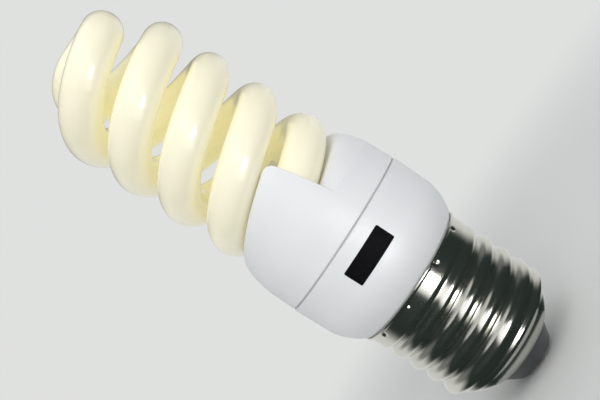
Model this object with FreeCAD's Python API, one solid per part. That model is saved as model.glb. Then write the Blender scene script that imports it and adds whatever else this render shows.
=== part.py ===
import FreeCAD, Part
import math
import os

# Spiral energy saving lamp with a 27 mm Edison screw cap.
# +Z runs up the lamp's axis, from the cap to the top of the coil.
# The origin is the middle of the contact's flat face.

V = FreeCAD.Vector
ORIGIN = V(0, 0, 0)
UP = V(0, 0, 1)

# Screw cap
CAP_LENGTH = 27.0              # contact face to the rim of the screw shell
THREAD_MAJOR_DIA = 26.2
THREAD_MINOR_DIA = 24.2
THREAD_PITCH = 25.4 / 7        # seven turns to the inch
THREAD_ROUND = 1.1             # radius of the rolled ridge
THREAD_DROP = 3.2              # rim down to the first trace of the thread
THREAD_FADE_DEG = 148.0        # turn in which each end of the ridge sinks into the shell
THREAD_END_DEG = 104.0         # direction of its upper end
THREAD_FOOT_RUN = 0.8          # height in which the bowl runs into the thread's root
SHELL_WALL = 0.35
SKIRT_DIA = 25.9
SKIRT_STEP = 0.5               # height of the step from the skirt to the thread
RIM_DIA = 26.7
RIM_HEIGHT = 0.3
MOUTH_DIA = 12.4               # open lower end of the screw shell
MOUTH_HEIGHT = 4.1             # above the contact face
BOWL_HEIGHT = 5.3              # rounded lower end, from the mouth to the thread
BOWL_RADIUS = 7.7
CRIMP_COUNT = 9
CRIMP_DROP = 1.0               # rim to the middle of the punch marks
CRIMP_RADIUS = 0.6
CRIMP_DEPTH = 0.35
INSULATOR_TIP_DIA = 7.3
INSULATOR_TIP_HEIGHT = 0.7
INSULATOR_EDGE = 0.4
INSULATOR_DEPTH = 2.0          # glass above the mouth, inside the shell
CONTACT_DIA = 6.6
CONTACT_FLAT_DIA = 5.2
STEM_DIA = 2.4
STEM_HEIGHT = 7.4

# Lower housing
HOUSING_HEIGHT = 13.5          # shell rim to the seam
HOUSING_DIA = 31.9
HOUSING_STRAIGHT = 5.9         # drafted wall below the seam
HOUSING_DRAFT = 0.18           # radius lost along that wall
HOUSING_BULGE = 10.8           # radius of the round below it
HOUSING_FOOT_DIA = 26.9
HOUSING_EDGE = 0.5
HOUSING_WALL = 1.3
NECK_LENGTH = 2.6              # neck that the shell is crimped on
NECK_WALL = 1.5
SEAM_CHAMFER = 0.3
LEDGE_WIDTH = 1.2              # ledge that carries the board
LEDGE_HEIGHT = 1.4

# Upper cover
COVER_INSET = 0.08             # the cover's radius is this much smaller at the seam
COVER_DRAFT = 0.2              # radius lost from the seam to the crease
COVER_CREASE = 5.6             # crease above the seam, where the shoulders start
COVER_WALL = 1.0
STEP_DEG = 284.5               # direction of the first step wall
STEP_LEAN_DEG = 8.0
SHOULDER_WIDTH = 3.55          # housing's outside in to where the ramps turn down into their shoulders
SHOULDER_OVERRUN = 0.6         # the shoulders' round would end this far outside the wall
SHOULDER_TURN_DEG = 63.0       # part of that round that is used
SHOULDER_FULLNESS = 1.4        # 1 is an ellipse, more is a fuller round
RAMP_SAG = 0.5                 # ramp below the tube's line in the middle of its half turn
LOBE_ROUND = 1.3               # round at the top of each step wall
POST_DIA = 8.0                 # post in the middle of the ramps
SPIGOT_LENGTH = 2.0
SPIGOT_WALL = 1.1
SPIGOT_ROOT = 1.3              # height of the spigot's root inside the cover

# Glass coil
TUBE_DIA = 7.2
COIL_INSET = 1.45              # housing's outside in to the coil's outside
COIL_LEAD = 19.64              # rise of one strand in a full turn
COIL_TURNS = 2.0               # turns of each strand from its step wall to the crossing
ENTRY_HEIGHT = 11.6            # middle of the tube above the seam at the step wall
ENTRY_DEG = 50.0               # turn of each end inside the cover
ENTRY_TUCK = 1.0               # how far each end moves inwards there
CROSS_DEG = 80.0               # turn in which a strand reaches the lamp's axis
CROSS_RISE = 4.4
NOSE_LENGTH = 1.6              # sealed end of the tube
NOSE_DIA = 4.0
CEMENT_LENGTH = 2.5            # cement behind the step wall
CEMENT_THICKNESS = 0.9

# Ballast
BOARD_PLAY = 0.35              # round the board
BOARD_THICKNESS = 1.2
LEAD_DIA = 0.6
BULK_DIA = 8.0
BULK_LENGTH = 14.0
BULK_X = -6.7
BULK_LEAD_PITCH = 3.5
BULK_STAND = 0.5               # board down to the can
BULK_EDGE = 0.6
CHOKE_X = 5.3
CHOKE_Y = -1.2
CORE_WIDTH = 10.0
CORE_DEPTH = 4.8
CORE_HEIGHT = 10.6
CORE_YOKE = 1.5
CORE_LEG = 1.4
CORE_MIDDLE_LEG = 2.6
BOBBIN_WALL = 0.5
BOBBIN_FLANGE = 0.7
BOBBIN_REACH = 1.9             # flange beyond the core's flat faces
WINDING_MARGIN = 0.3           # winding inside the flanges' outline
CHOKE_STAND = 1.0              # board down to the core
CHOKE_PIN_X = 2.3
CHOKE_PIN_INSET = 0.7          # from the flange's edge to its pins
TOROID_X = -0.5
TOROID_INSET = 5.7             # board's edge in to the ring's middle
TOROID_DIA = 7.0
TOROID_HOLE_DIA = 4.0
TOROID_HEIGHT = 3.0
TOROID_WIRE = 0.4
TOROID_STAND = 0.8             # board down to the ring
TOROID_WINDING_COUNT = 3
TOROID_FIRST_DEG = 30.0        # direction of the first winding
TOROID_WINDING_DEG = 60.0
TOROID_LEAD_DEG = 30.0         # between the two leads of a winding
TRANSISTOR_DIA = 4.8
TRANSISTOR_FLAT = 1.3          # flat face in front of the body's axis
TRANSISTOR_HEIGHT = 4.8
TRANSISTOR_STAND = 1.5
TRANSISTOR_PITCH = 1.27
TRANSISTOR_INSET = 4.7         # board's edge in to the bodies' axes
TRANSISTOR_X = [-3.4, 2.6]
DIODE_DIA = 2.4
DIODE_LENGTH = 4.4
DIODE_SPAN = 7.5
DIODE_PLACES = [(-9.4, 0.0), (-6.6, 0.0), (-3.8, 0.0), (-1.0, 0.0)]
RESISTOR_DIA = 1.8
RESISTOR_LENGTH = 3.6
RESISTOR_SPAN = 6.2
RESISTOR_PLACES = [(1.6, 0.0), (3.9, 0.0), (6.2, 0.0), (8.5, 0.0)]
DIAC_DIA = 1.6
DIAC_LENGTH = 3.0
DIAC_SPAN = 5.6
DIAC_PLACES = [(10.8, 0.0)]
FILM_LENGTH = 8.6
FILM_THICKNESS = 3.4
FILM_HEIGHT = 5.2
FILM_PITCH = 6.5
FILM_EDGE = 0.4
FILM_INSET = 6.1               # board's edge in to the film capacitors
FUSE_DIA = 3.0
FUSE_LENGTH = 9.0
FUSE_HEIGHT = 11.5             # lower end of its body above the contact face
FUSE_X = -0.8
AXIAL_STAND = 0.3              # board up to the bodies that lie on it
AXIAL_EDGE = 0.3
AXIAL_BEND = 0.7
PIN_SIZE = 0.8
PIN_HEIGHT = 3.6               # above the board
PIN_INSET = 1.7                # board's edge in to the pins
PIN_SPREAD_DEG = 9.0           # each side of the tube's end
PIN_LEAN_DEG = 18.0            # past the tube's end
FILAMENT_DIA = 0.4
FILAMENT_PITCH = 1.6
FILAMENT_RUN = 1.2
WIRE_BEND = 0.8
SUPPLY_DEG = 135.0
SUPPLY_DIA = 0.6
SUPPLY_LENGTH = 17.0
SUPPLY_SLOT = 1.0              # slot for it in the neck
SUPPLY_SLOT_TOP = 4.0          # slot above the shell's rim

# Clearances
FIT = 0.05                     # between pieces that are pressed or snapped together
GLASS_FIT = 0.1                # round the glass
RAMP_GAP = 0.2                 # between the glass and the ramps under it

# Places worked out from the sizes
SEAM_Z = CAP_LENGTH + HOUSING_HEIGHT
SKIRT_R = SKIRT_DIA / 2
THREAD_MEAN_R = (THREAD_MAJOR_DIA + THREAD_MINOR_DIA) / 4
THREAD_ROOT_R = THREAD_MINOR_DIA / 2
THREAD_TOP = CAP_LENGTH - THREAD_DROP
BOWL_TOP = MOUTH_HEIGHT + BOWL_HEIGHT
MOUTH_R = MOUTH_DIA / 2
NECK_R = SKIRT_R - SHELL_WALL - FIT
HOUSING_R = HOUSING_DIA / 2
HOUSING_INNER_R = HOUSING_R - HOUSING_WALL
COVER_R = HOUSING_R - COVER_INSET
BOARD_TOP = SEAM_Z - SPIGOT_LENGTH - FIT
BOARD_BOTTOM = BOARD_TOP - BOARD_THICKNESS
BOARD_R = HOUSING_INNER_R - BOARD_PLAY
TUBE_R = TUBE_DIA / 2
COIL_RADIUS = HOUSING_R - COIL_INSET - TUBE_R
RAMP_EDGE = HOUSING_R - SHOULDER_WIDTH
STEP = math.radians(STEP_DEG)
STEP_LEAN = math.radians(STEP_LEAN_DEG)
SHOULDER_TURN = math.radians(SHOULDER_TURN_DEG)
ENTRY = math.radians(ENTRY_DEG)
CROSS = math.radians(CROSS_DEG)
ENTRY_Z = SEAM_Z + ENTRY_HEIGHT
COIL_SLOPE = COIL_LEAD / (2 * math.pi)
COIL_TURN = 2 * math.pi * COIL_TURNS
COIL_LEAN = math.atan2(COIL_SLOPE, COIL_RADIUS)
RAMP_FOOT = ENTRY_Z - TUBE_R / math.cos(COIL_LEAN) - RAMP_GAP
LOBE_TOP = RAMP_FOOT + COIL_LEAD / 2
TOROID_Y = BOARD_R - TOROID_INSET
FILM_Y = BOARD_R - FILM_INSET
PIN_RADIUS = BOARD_R - PIN_INSET
TRANSISTOR_PLACES = [(x, TRANSISTOR_INSET - BOARD_R) for x in TRANSISTOR_X]


# Shared shapes

def at(radius, angle, z):
    return V(radius * math.cos(angle), radius * math.sin(angle), z)


def opposite(shape):
    """The second of two pieces that lie half a turn apart."""
    other = shape.copy()
    other.rotate(ORIGIN, UP, 180)
    return other


def outline(start, *moves):
    """Closed face in the XZ plane: a move is a point, or a pair (point on an arc, end of the arc)."""
    edges = []
    here = V(start[0], 0, start[1])
    for move in list(moves) + [start]:
        if isinstance(move[0], tuple):
            middle, end = (V(p[0], 0, p[1]) for p in move)
            edges.append(Part.Arc(here, middle, end).toShape())
        else:
            end = V(move[0], 0, move[1])
            if end.distanceToPoint(here) > 1e-9:
                edges.append(Part.LineSegment(here, end).toShape())
        here = end
    return Part.Face(Part.Wire(edges))


def turned(start, *moves):
    return outline(start, *moves).revolve(ORIGIN, UP, 360)


def arc_frame(start, end, radius):
    """Centre of the arc that bulges away from the lamp's axis, and the direction it bulges in."""
    chord = math.dist(start, end)
    across = ((start[1] - end[1]) / chord, (end[0] - start[0]) / chord)
    side = 1 if across[0] > 0 else -1
    out = (side * across[0], side * across[1])
    depth = math.sqrt(radius ** 2 - chord ** 2 / 4)
    return tuple((start[i] + end[i]) / 2 - out[i] * depth for i in (0, 1)), out


def bulge(start, end, radius):
    """Move along that arc."""
    centre, out = arc_frame(start, end, radius)
    return tuple(centre[i] + out[i] * radius for i in (0, 1)), end


def nearer(point, centre, distance):
    """The point that lies a distance closer to a centre."""
    full = math.dist(point, centre)
    return tuple(centre[i] + (point[i] - centre[i]) * (full - distance) / full for i in (0, 1))


def ring(inner, outer, low, high):
    return turned((inner, low), (outer, low), (outer, high), (inner, high))


def cylinder(diameter, height, x, y, z):
    return Part.makeCylinder(diameter / 2, height, V(x, y, z))


def block(width, depth, height, x, y, z):
    """Upright block with the middle of its lower face at x, y, z."""
    return Part.makeBox(width, depth, height, V(x - width / 2, y - depth / 2, z))


def rounded_block(width, depth, height, x, y, z, edge):
    body = block(width, depth, height, x, y, z)
    upright = [e for e in body.Edges if abs(e.tangentAt(e.FirstParameter).z) > 0.5]
    return body.makeFillet(edge, upright)


def fused(first, *others):
    return first.fuse(list(others)).removeSplitter()


def largest(shape):
    return max(shape.Solids, key=lambda solid: solid.Volume)


def rod(points, diameter, bend=0.0):
    """Round rod along straight runs, with an arc of radius bend at each corner."""
    edges = []
    here = points[0]
    for before, corner, after in zip(points, points[1:], points[2:]):
        back = (before - corner).normalize()
        on = (after - corner).normalize()
        half = back.getAngle(on) / 2
        cut = bend / math.tan(half)
        inward = (back + on).normalize()
        start, end = corner + back * cut, corner + on * cut
        middle = corner + inward * (bend / math.sin(half) - bend)
        edges.append(Part.LineSegment(here, start).toShape())
        edges.append(Part.Arc(start, middle, end).toShape())
        here = end
    edges.append(Part.LineSegment(here, points[-1]).toShape())
    section = Part.Circle(points[0], points[1] - points[0], diameter / 2)
    return Part.Wire(edges).makePipe(Part.Face(Part.Wire(section.toShape())))


# Glass coil

def coil_point(angle):
    """Middle of a strand at an angle past its step wall; negative angles are inside the cover."""
    tuck = ENTRY_TUCK * (angle / ENTRY) ** 2 if angle < 0 else 0.0
    return at(COIL_RADIUS - tuck, STEP + angle, ENTRY_Z + COIL_SLOPE * angle)


def crossing_point(share):
    """Middle of the tube between the end of a strand, at 0, and the lamp's axis, at 1."""
    first = COIL_SLOPE * CROSS
    second = 3 * CROSS_RISE - 2 * first
    third = first - 2 * CROSS_RISE
    z = ENTRY_Z + COIL_SLOPE * COIL_TURN + first * share + second * share ** 2 + third * share ** 3
    return at(COIL_RADIUS * math.cos(share * math.pi / 2), STEP + COIL_TURN + CROSS * share, z)


def node(curve, value):
    """Point and direction of a curve."""
    small = 1e-5
    return curve(value), (curve(value + small) - curve(value - small)).normalize()


def arc_pair(start, end):
    """Two arcs that run smoothly from one node to the next."""
    (p, along), (q, leaving) = start, end
    chord = q - p
    bend = 1 - along.dot(leaving)
    reach = chord.dot(along + leaving)
    arm = (math.sqrt(reach ** 2 + 2 * bend * chord.dot(chord)) - reach) / (2 * bend)
    first, second = p + along * arm, q - leaving * arm
    joint = (first + second) * 0.5
    arcs = []
    for a, corner, b in ((p, first, joint), (joint, second, q)):
        weight = math.cos((corner - a).getAngle(b - corner) / 2)
        middle = (a + corner * (2 * weight) + b) * (0.5 / (1 + weight))
        arcs.append(Part.Arc(a, middle, b).toShape())
    return arcs


def tube_along(nodes, radius):
    edges = []
    for start, end in zip(nodes, nodes[1:]):
        edges += arc_pair(start, end)
    section = Part.Circle(nodes[0][0], nodes[0][1], radius)
    return Part.Wire(edges).makePipe(Part.Face(Part.Wire(section.toShape())))


def nose():
    """Sealed end of a strand: a round shoulder that ends in a small flat."""
    end, along = node(coil_point, -ENTRY)
    side, tip = (TUBE_R, 0), (NOSE_DIA / 2, NOSE_LENGTH)
    shape = turned((0, 0), side, bulge(side, tip, TUBE_R), (0, NOSE_LENGTH))
    shape.Placement = FreeCAD.Placement(end, FreeCAD.Rotation(UP, along * -1))
    return shape


def strand_nodes():
    first, last = -ENTRY, COIL_TURN
    count = round((last - first) / math.radians(60))
    return [node(coil_point, first + (last - first) * i / count) for i in range(count + 1)]


def tube_end(radius):
    """Round form along the end of a strand, from its nose to just past the step wall."""
    return tube_along(strand_nodes()[:2], radius)


def spiral_tube():
    half = strand_nodes() + [node(crossing_point, share) for share in (0.5, 1.0)]
    back = [(V(-p.x, -p.y, p.z), V(t.x, t.y, -t.z)) for p, t in reversed(half[:-1])]
    tip = nose()
    return fused(tube_along(half + back, TUBE_R), tip, opposite(tip))


# Upper cover

def ramp_level(angle):
    """Ramp at an angle past its step wall; it sags a little in the middle of its half turn."""
    return RAMP_FOOT + COIL_SLOPE * angle - RAMP_SAG * math.sin(angle) ** 2


def cover_radius(z):
    """Drafted outside of the cover, before the ramps are cut."""
    return COVER_R - COVER_DRAFT * (z - SEAM_Z) / COVER_CREASE


def smooth_surface(rows):
    """Cubic surface that is drawn along a net of points."""
    sizes = len(rows), len(rows[0])
    knots = [list(range(size - 2)) for size in sizes]
    counts = [[4] + [1] * (size - 4) + [4] for size in sizes]
    surface = Part.BSplineSurface()
    surface.buildFromPolesMultsKnots(rows, *counts, *knots, False, False, 3, 3)
    return surface.toShape()


def ramp_line(angle, inset):
    """Section of a ramp: level from inside the post to its edge, then round down past the crease."""
    core = POST_DIA / 4
    edge = RAMP_EDGE - inset / 2
    crease = SEAM_Z + COVER_CREASE - inset / 2
    wall = cover_radius(crease) - inset
    level = ramp_level(angle) - inset
    reach = wall + SHOULDER_OVERRUN - edge
    crease_turn = math.asin((wall - edge) / reach)
    near = reach * math.sin(SHOULDER_TURN / 8)
    spread = (edge - core - 6 * near) / 36
    line = [(edge - near * i - spread * i ** 2, level) for i in range(6, 0, -1)]
    for i in range(9):
        turn = SHOULDER_TURN * i / 8
        share = (1 - math.cos(turn)) / (1 - math.cos(crease_turn))
        line.append((edge + reach * math.sin(turn), level - (level - crease) * share ** SHOULDER_FULLNESS))
    return line


def ramp_void(form, inset):
    """What one ramp takes from a form; inset gives the inside of the cover's wall."""
    apart = math.radians(20)
    widen = 3 / (2 + math.cos(apart))
    rows = []
    for i in range(-3, 13):
        line = ramp_line(i * apart, inset)
        rows.append([at(radius * widen, STEP + i * apart, z) for radius, z in line])
    above = smooth_surface(rows).extrude(V(0, 0, 2 * COIL_LEAD))
    space = half_space(inset)
    further = space.copy()
    further.rotate(ORIGIN, UP, 15)
    return form.common(space.fuse(further)).common(above)


def half_space(inset):
    """Everything past the leaning step wall."""
    size = 4 * COVER_R
    normal = at(math.cos(STEP_LEAN), STEP + math.pi / 2, math.sin(STEP_LEAN))
    space = Part.makeBox(size, size, size, V(-size / 2, -size / 2, 0))
    place = at(COIL_RADIUS, STEP, ENTRY_Z) - normal * inset
    space.Placement = FreeCAD.Placement(place, FreeCAD.Rotation(UP, normal))
    return space


def cover_form(inset, low, high):
    """Drafted round form with both ramps cut into it."""
    form = turned((0, low), (cover_radius(low) - inset, low), (cover_radius(high) - inset, high), (0, high))
    void = ramp_void(form, inset)
    return form.cut(void).cut(opposite(void))


def lobe_corner():
    """What the round at the top of a step wall takes away, as a bar that runs out from the post."""
    slope = math.atan2(COIL_SLOPE, RAMP_EDGE)
    back = (LOBE_TOP - ENTRY_Z) * math.tan(STEP_LEAN)
    down = V(math.sin(STEP_LEAN), 0, -math.cos(STEP_LEAN))
    along = V(-math.cos(slope), 0, -math.sin(slope))
    half = down.getAngle(along) / 2
    inward = (down + along).normalize()
    corner = V(-back, 0, LOBE_TOP - back * math.tan(slope)) + inward * FIT / 2
    arm = LOBE_ROUND / math.tan(half)
    foot, head = corner + down * arm, corner + along * arm
    middle = corner + inward * (LOBE_ROUND / math.sin(half) - LOBE_ROUND)
    beyond = corner - inward * LOBE_ROUND
    across = V(0, 1, 0)
    points = [foot, foot + down.cross(across), beyond, head - along.cross(across), head]
    side = [(p.x, p.z) for p in points]
    bar = outline(*side, ((middle.x, middle.z), side[0])).extrude(V(0, POST_DIA / 2 - COVER_R, 0))
    bar.translate(V(0, -POST_DIA / 2, 0))
    bar.rotate(ORIGIN, UP, STEP_DEG + 90)
    return bar


def spigot():
    outer = HOUSING_INNER_R - FIT
    inner = outer - SPIGOT_WALL
    root = cover_radius(SEAM_Z) - COVER_WALL / 2
    low, high = SEAM_Z - SPIGOT_LENGTH, SEAM_Z + SPIGOT_ROOT
    return turned((inner, low), (outer, low), (outer, SEAM_Z), (root, SEAM_Z), (root, high), (inner, high))


def upper_cover():
    corner = lobe_corner()
    post = cylinder(POST_DIA, LOBE_TOP - RAMP_FOOT + COVER_WALL, 0, 0, RAMP_FOOT - COVER_WALL)
    outside = cover_form(0, SEAM_Z, LOBE_TOP).fuse(post).removeSplitter().cut([corner, opposite(corner)])
    seam = turned((COVER_R - SEAM_CHAMFER, SEAM_Z), (COVER_R, SEAM_Z), (COVER_R, SEAM_Z + SEAM_CHAMFER))
    inside = cover_form(COVER_WALL, SEAM_Z, LOBE_TOP - COVER_WALL)
    passage = tube_end(TUBE_R + GLASS_FIT)
    shell = outside.cut([inside.cut(post), seam]).fuse(spigot())
    return largest(shell.cut([passage, opposite(passage)]))


def tube_cement(cover):
    """Bead that holds one end of the tube behind the step wall."""
    low, high = COVER_WALL - 2 * FIT, CEMENT_LENGTH + COVER_WALL
    bead = tube_end(TUBE_R + CEMENT_THICKNESS).common(half_space(high)).cut(half_space(low))
    return largest(bead.cut([tube_end(TUBE_R + FIT), cover]))


# Screw cap

def bowl_outline():
    """Mouth and upper end of the shell's rounded end, and the centre of its arc."""
    mouth, top = (MOUTH_R, MOUTH_HEIGHT), (THREAD_MEAN_R, BOWL_TOP)
    return mouth, top, arc_frame(mouth, top, BOWL_RADIUS)[0]


def crimps(radius):
    """Round punch marks in the skirt, all with their middles on one circle."""
    marks = []
    for i in range(CRIMP_COUNT):
        angle = math.radians(270) + 2 * math.pi * (i + 0.5) / CRIMP_COUNT
        middle = at(SKIRT_R + CRIMP_RADIUS - CRIMP_DEPTH, angle, CAP_LENGTH - CRIMP_DROP)
        marks.append(Part.makeSphere(radius, middle))
    return marks


def thread_ends():
    """Directions of the ridge's lower and upper end, counted in full turns."""
    last = math.radians(THREAD_END_DEG)
    return last - (THREAD_TOP - BOWL_TOP) / THREAD_PITCH * 2 * math.pi, last


def thread_point(turn):
    """Middle of the rolled ridge; its ends sink into the shell."""
    fade = math.radians(THREAD_FADE_DEG)
    first, last = thread_ends()
    share = max(0, min(1, (turn - first) / fade, (last - turn) / fade))
    sunk = (1 - share ** 2 * (3 - 2 * share)) * (THREAD_MAJOR_DIA / 2 - THREAD_ROOT_R + FIT)
    z = THREAD_TOP + (turn - last) * THREAD_PITCH / (2 * math.pi)
    return at(THREAD_MAJOR_DIA / 2 - THREAD_ROUND - sunk, turn, z)


def thread_ridge(radius):
    first, last = thread_ends()
    count = round((last - first) / math.radians(75))
    turns = [first + (last - first) * i / count for i in range(count + 1)]
    return tube_along([node(thread_point, turn) for turn in turns], radius)


def screw_shell():
    """Drawn shell with a rolled thread: a ridge outside and a groove behind it."""
    mouth, top, centre = bowl_outline()
    root, root_foot = THREAD_ROOT_R, BOWL_TOP + THREAD_FOOT_RUN
    bore, skirt_bore = root - SHELL_WALL, SKIRT_R - SHELL_WALL
    step_top = THREAD_TOP + SKIRT_STEP
    rim = RIM_DIA / 2
    lip_low = CAP_LENGTH - 2 * RIM_HEIGHT
    lip_high = CAP_LENGTH - RIM_HEIGHT
    inner_mouth = nearer(mouth, centre, SHELL_WALL)
    inner_top = nearer(top, centre, SHELL_WALL)
    inner_bowl = bulge(inner_mouth, inner_top, BOWL_RADIUS - SHELL_WALL)
    outside = turned((0, MOUTH_HEIGHT), mouth, bulge(mouth, top, BOWL_RADIUS), (root, root_foot),
                     (root, THREAD_TOP), (SKIRT_R, step_top), (SKIRT_R, lip_low), (rim, lip_high),
                     (rim, CAP_LENGTH), (0, CAP_LENGTH))
    space = turned((0, MOUTH_HEIGHT), mouth, inner_mouth, inner_bowl, (bore, root_foot), (bore, THREAD_TOP),
                   (skirt_bore, step_top), (skirt_bore, CAP_LENGTH), (0, CAP_LENGTH))
    sleeve = ring(0, SKIRT_R - SHELL_WALL / 2, step_top, lip_low)
    bumps = [mark.common(sleeve) for mark in crimps(CRIMP_RADIUS + SHELL_WALL)]
    shell = outside.fuse(thread_ridge(THREAD_ROUND)).cut(space).cut(thread_ridge(THREAD_ROUND - SHELL_WALL))
    return largest(shell.fuse(bumps).cut(crimps(CRIMP_RADIUS)))


def cap_insulator():
    mouth, top, centre = bowl_outline()
    seat = BOWL_RADIUS - SHELL_WALL - FIT
    bore = STEM_DIA / 2 + FIT
    waist = MOUTH_R - FIT
    upper = MOUTH_HEIGHT + INSULATOR_DEPTH
    low = (waist, centre[1] - math.sqrt(seat ** 2 - (waist - centre[0]) ** 2))
    high = (centre[0] + math.sqrt(seat ** 2 - (upper - centre[1]) ** 2), upper)
    tip = INSULATOR_TIP_DIA / 2
    body = turned((bore, INSULATOR_TIP_HEIGHT), (tip - INSULATOR_EDGE, INSULATOR_TIP_HEIGHT),
                  (tip, INSULATOR_TIP_HEIGHT + INSULATOR_EDGE), (waist, MOUTH_HEIGHT), low,
                  bulge(low, high, seat), (bore, upper))
    return body


def centre_contact():
    flat = (CONTACT_FLAT_DIA / 2, 0)
    edge = (CONTACT_DIA / 2, INSULATOR_TIP_HEIGHT - FIT)
    stem = STEM_DIA / 2
    return turned((0, 0), flat, bulge(flat, edge, 2 * INSULATOR_TIP_HEIGHT), (stem, edge[1]),
                  (stem, STEM_HEIGHT), (0, STEM_HEIGHT))


# Lower housing

def supply_radius():
    """Side supply wire, which lies against the roots of the screw shell's thread."""
    return THREAD_MINOR_DIA / 2 - SHELL_WALL - FIT - SUPPLY_DIA / 2


def supply_slot():
    """Slot through the neck for the side supply wire, and its groove in the wall above."""
    low, high = CAP_LENGTH - NECK_LENGTH, CAP_LENGTH + SUPPLY_SLOT_TOP
    reach = supply_radius() + SUPPLY_SLOT / 2
    round_end = turned((0, low), (SKIRT_R, low), (SKIRT_R, CAP_LENGTH), (reach, CAP_LENGTH),
                       (reach, high), (0, high))
    slot = block(SKIRT_R, SUPPLY_SLOT, high - low, SKIRT_R / 2, 0, low).common(round_end)
    slot.rotate(ORIGIN, UP, SUPPLY_DEG)
    return slot


def crimp_groove():
    """Groove round the neck that takes the inner side of the punch marks."""
    reach = CRIMP_RADIUS + SHELL_WALL + FIT
    middle = (SKIRT_R + CRIMP_RADIUS - CRIMP_DEPTH, CAP_LENGTH - CRIMP_DROP)
    half = math.sqrt(reach ** 2 - (middle[0] - NECK_R) ** 2)
    low, high = (NECK_R, middle[1] - half), (NECK_R, middle[1] + half)
    return turned(low, ((middle[0] - reach, middle[1]), high))


def lower_housing():
    top = SEAM_Z
    straight = (HOUSING_R - HOUSING_DRAFT, SEAM_Z - HOUSING_STRAIGHT)
    foot = (HOUSING_FOOT_DIA / 2, CAP_LENGTH + HOUSING_EDGE)
    centre = arc_frame(straight, foot, HOUSING_BULGE)[0]
    neck_bore = NECK_R - NECK_WALL
    inner = HOUSING_BULGE - HOUSING_WALL
    ledge = HOUSING_INNER_R - LEDGE_WIDTH
    ledge_low = BOARD_BOTTOM - LEDGE_HEIGHT
    inner_top = (HOUSING_INNER_R, ledge_low - LEDGE_WIDTH)
    inner_foot = nearer(foot, centre, HOUSING_WALL)
    neck_end = CAP_LENGTH - NECK_LENGTH
    cup = turned((neck_bore, neck_end), (NECK_R, neck_end), (NECK_R, CAP_LENGTH),
                 (foot[0] - HOUSING_EDGE, CAP_LENGTH), foot, bulge(foot, straight, HOUSING_BULGE),
                 (HOUSING_R - SEAM_CHAMFER * HOUSING_DRAFT / HOUSING_STRAIGHT, top - SEAM_CHAMFER),
                 (HOUSING_R - SEAM_CHAMFER, top), (HOUSING_INNER_R, top), (HOUSING_INNER_R, BOARD_BOTTOM),
                 (ledge, BOARD_BOTTOM), (ledge, ledge_low), inner_top, bulge(inner_top, inner_foot, inner),
                 (neck_bore, inner_foot[1]))
    return cup.cut([supply_slot(), crimp_groove()])


# Ballast, with the places of the leads that go through the board

def lead(x, y, low, high):
    return cylinder(LEAD_DIA, high - low, x, y, low)


def hanging_leads(places, low):
    """Leads from a piece under the board up to the board's upper face."""
    return [lead(x, y, low, BOARD_TOP) for x, y in places]


def standing_leads(places, high):
    """Leads from a piece on the board down to the board's lower face."""
    return [lead(x, y, BOARD_BOTTOM, high) for x, y in places]


def softened(body, edge):
    """Round body with a bevel at both ends."""
    return body.makeChamfer(edge, [e for e in body.Edges if isinstance(e.Curve, Part.Circle)])


def bulk_places():
    return [(BULK_X, side * BULK_LEAD_PITCH / 2) for side in (-1, 1)]


def bulk_capacitor():
    high = BOARD_BOTTOM - BULK_STAND
    can = softened(cylinder(BULK_DIA, BULK_LENGTH, BULK_X, 0, high - BULK_LENGTH), BULK_EDGE)
    return fused(can, *hanging_leads(bulk_places(), high - BULK_EDGE))


def choke_core():
    """Two E shaped halves that meet in the middle of the legs."""
    half_height = CORE_HEIGHT / 2 - FIT / 2
    high = BOARD_BOTTOM - CHOKE_STAND
    yoke = block(CORE_WIDTH, CORE_DEPTH, CORE_YOKE, CHOKE_X, CHOKE_Y, high - CORE_YOKE)
    side = CORE_WIDTH / 2 - CORE_LEG / 2
    sizes = [(CORE_LEG, -side), (CORE_MIDDLE_LEG, 0), (CORE_LEG, side)]
    low = high - half_height
    legs = [block(width, CORE_DEPTH, half_height, CHOKE_X + x, CHOKE_Y, low) for width, x in sizes]
    half = fused(yoke, *legs)
    other = half.mirror(V(0, 0, high - CORE_HEIGHT / 2), UP)
    return Part.makeCompound([half, other])


def choke_window():
    """Lower and upper end of the room between the core's yokes, and the width beside the middle leg."""
    high = BOARD_BOTTOM - CHOKE_STAND - CORE_YOKE - FIT
    low = BOARD_BOTTOM - CHOKE_STAND - CORE_HEIGHT + CORE_YOKE + FIT
    return low, high, CORE_WIDTH / 2 - CORE_LEG - FIT


def choke_places():
    out = CORE_DEPTH / 2 + BOBBIN_REACH - CHOKE_PIN_INSET
    return [(CHOKE_X + a * CHOKE_PIN_X, CHOKE_Y + b * out) for a in (-1, 1) for b in (-1, 1)]


def choke_bobbin():
    low, high, reach = choke_window()
    width = CORE_MIDDLE_LEG + 2 * FIT
    depth = CORE_DEPTH + 2 * FIT
    tall = high - low
    tube = block(width + 2 * BOBBIN_WALL, depth + 2 * BOBBIN_WALL, tall, CHOKE_X, CHOKE_Y, low)
    flange_depth = CORE_DEPTH + 2 * BOBBIN_REACH
    ends = (low, high - BOBBIN_FLANGE)
    flanges = [block(2 * reach, flange_depth, BOBBIN_FLANGE, CHOKE_X, CHOKE_Y, z) for z in ends]
    bore = block(width, depth, tall, CHOKE_X, CHOKE_Y, low)
    pins = hanging_leads(choke_places(), high - BOBBIN_FLANGE / 2)
    return fused(tube, *flanges, *pins).cut(bore)


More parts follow.
